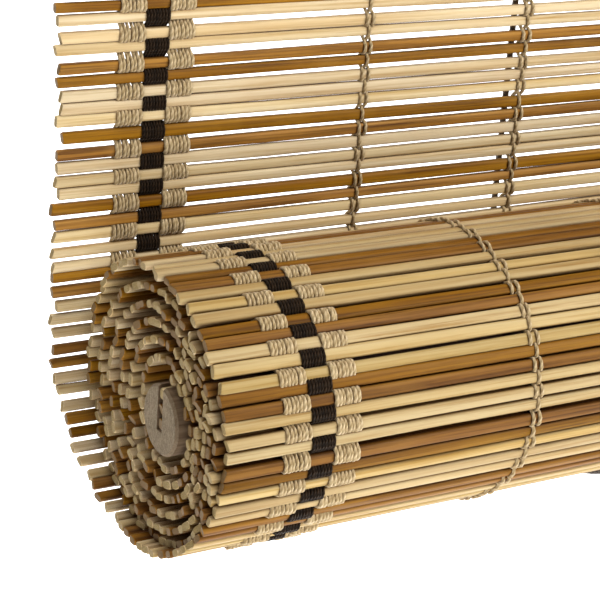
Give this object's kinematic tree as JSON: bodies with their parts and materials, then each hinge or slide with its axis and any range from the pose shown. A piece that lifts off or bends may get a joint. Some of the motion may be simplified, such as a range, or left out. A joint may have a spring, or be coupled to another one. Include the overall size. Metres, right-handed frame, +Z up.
{
  "type": "roll-up slat blind",
  "caption": "Woven bamboo slat blind, partly rolled up on cord loops round a loose wooden bottom dowel, with a headrail, pulleys, cord lock and a coiled pull cord.",
  "frame": {"origin": "centre of the headrail's flat top face, above the plane in which the curtain hangs", "axes": "+X along the slats to the right as seen from the room, -Y into the room, +Z up"},
  "size_m": [0.7765, 0.1082, 0.5318],
  "materials": {
    "bamboo_slats": "split bamboo, pale with every fourth and fifth slat brown",
    "headrail_wood": "planed pine, clear matt lacquer",
    "dowel_wood": "greyed raw wood",
    "turned_wood": "turned and oiled",
    "nylon": "moulded",
    "brass": "knurled",
    "zinc_plated_steel": "zinc plated",
    "cord": "dark brown braided cord"
  },
  "bodies": {
    "headrail_assembly": {"bracket_screw_left_1": "zinc_plated_steel", "bracket_screw_left_2": "zinc_plated_steel", "bracket_screw_right_1": "zinc_plated_steel", "bracket_screw_right_2": "zinc_plated_steel", "cord_knot_left": "cord", "cord_knot_right": "cord", "cord_lock_housing": "zinc_plated_steel", "cord_lock_screw_1": "zinc_plated_steel", "cord_lock_screw_2": "zinc_plated_steel", "curtain_lower": "bamboo_slats", "curtain_upper": "bamboo_slats", "head_spline": "headrail_wood", "headrail": "headrail_wood", "lift_cord_front_left": "cord", "lift_cord_front_right": "cord", "lift_cord_head_left": "cord", "lift_cord_head_right": "cord", "lift_cord_rear_left": "cord", "lift_cord_rear_right": "cord", "lift_cord_tail_left": "cord", "lift_cord_tail_right": "cord", "lock_guide_axle": "zinc_plated_steel", "mounting_bracket_left": "zinc_plated_steel", "mounting_bracket_right": "zinc_plated_steel", "pulley_axle_left": "zinc_plated_steel", "pulley_axle_right": "zinc_plated_steel", "pulley_bracket_left": "zinc_plated_steel", "pulley_bracket_right": "zinc_plated_steel", "pulley_screw_left_1": "zinc_plated_steel", "pulley_screw_left_2": "zinc_plated_steel", "pulley_screw_right_1": "zinc_plated_steel", "pulley_screw_right_2": "zinc_plated_steel"},
    "cord_loops": {"lift_cord_loop_left": "cord", "lift_cord_loop_right": "cord"},
    "roll": {"bottom_dowel": "dowel_wood", "dowel_nail_1": "zinc_plated_steel", "dowel_nail_2": "zinc_plated_steel", "dowel_nail_3": "zinc_plated_steel", "pinned_slat_1": "bamboo_slats", "pinned_slat_2": "bamboo_slats", "pinned_slat_3": "bamboo_slats", "slat_roll": "bamboo_slats"},
    "pulley_left": {"pulley_sheave_left": "nylon"},
    "pulley_right": {"pulley_sheave_right": "nylon"},
    "lock_sheave": {"lock_guide_sheave": "nylon"},
    "lock_roller": {"lock_roller": "brass"},
    "pull_end": {"joining_bead": "turned_wood", "pull_cord": "cord", "pull_cord_coil": "cord", "coil_tie": "cord", "tassel_lead": "cord", "tassel": "turned_wood"}
  },
  "joints": [
    {"name": "roll_lift", "type": "slide", "parent": "headrail_assembly", "child": "cord_loops", "axis": [0, 0, 1], "range_m": [0, 0.30536], "deforming": ["curtain_lower", "lift_cord_rear_left", "lift_cord_rear_right", "lift_cord_front_left", "lift_cord_front_right"]},
    {"name": "roll_turn", "type": "hinge", "parent": "cord_loops", "child": "roll", "pos_m": [0, -0.0486, -0.48], "axis": [1, 0, 0], "range_deg": [-360, 0]},
    {"name": "pulley_left_spin", "type": "hinge", "parent": "headrail_assembly", "child": "pulley_left", "pos_m": [-0.1709, -0.048, -0.032], "axis": [0, 1, 0], "range_deg": [0, 4930]},
    {"name": "pulley_right_spin", "type": "hinge", "parent": "headrail_assembly", "child": "pulley_right", "pos_m": [0.1851, -0.04, -0.032], "axis": [0, 1, 0], "range_deg": [0, 4930]},
    {"name": "lock_sheave_spin", "type": "hinge", "parent": "headrail_assembly", "child": "lock_sheave", "pos_m": [0.3669, -0.044, -0.032], "axis": [0, 1, 0], "range_deg": [0, 4930]},
    {"name": "lock_roller_slide", "type": "slide", "parent": "headrail_assembly", "child": "lock_roller", "axis": [0.5, 0, 0.866], "range_m": [0, 0.005]},
    {"name": "pull_slide", "type": "slide", "parent": "headrail_assembly", "child": "pull_end", "axis": [0, 0, -1], "range_m": [0, 0.6108], "deforming": ["lift_cord_tail_left", "lift_cord_tail_right"]}
  ],
  "couplings": [
    {"joint": "roll_turn", "follows": "roll_lift", "rad_per_m": -20.576},
    {"joint": "pulley_left_spin", "follows": "roll_lift", "rad_per_m": 281.69},
    {"joint": "pulley_right_spin", "follows": "roll_lift", "rad_per_m": 281.69},
    {"joint": "lock_sheave_spin", "follows": "roll_lift", "rad_per_m": 281.69},
    {"joint": "pull_slide", "follows": "roll_lift", "ratio": 2}
  ]
}
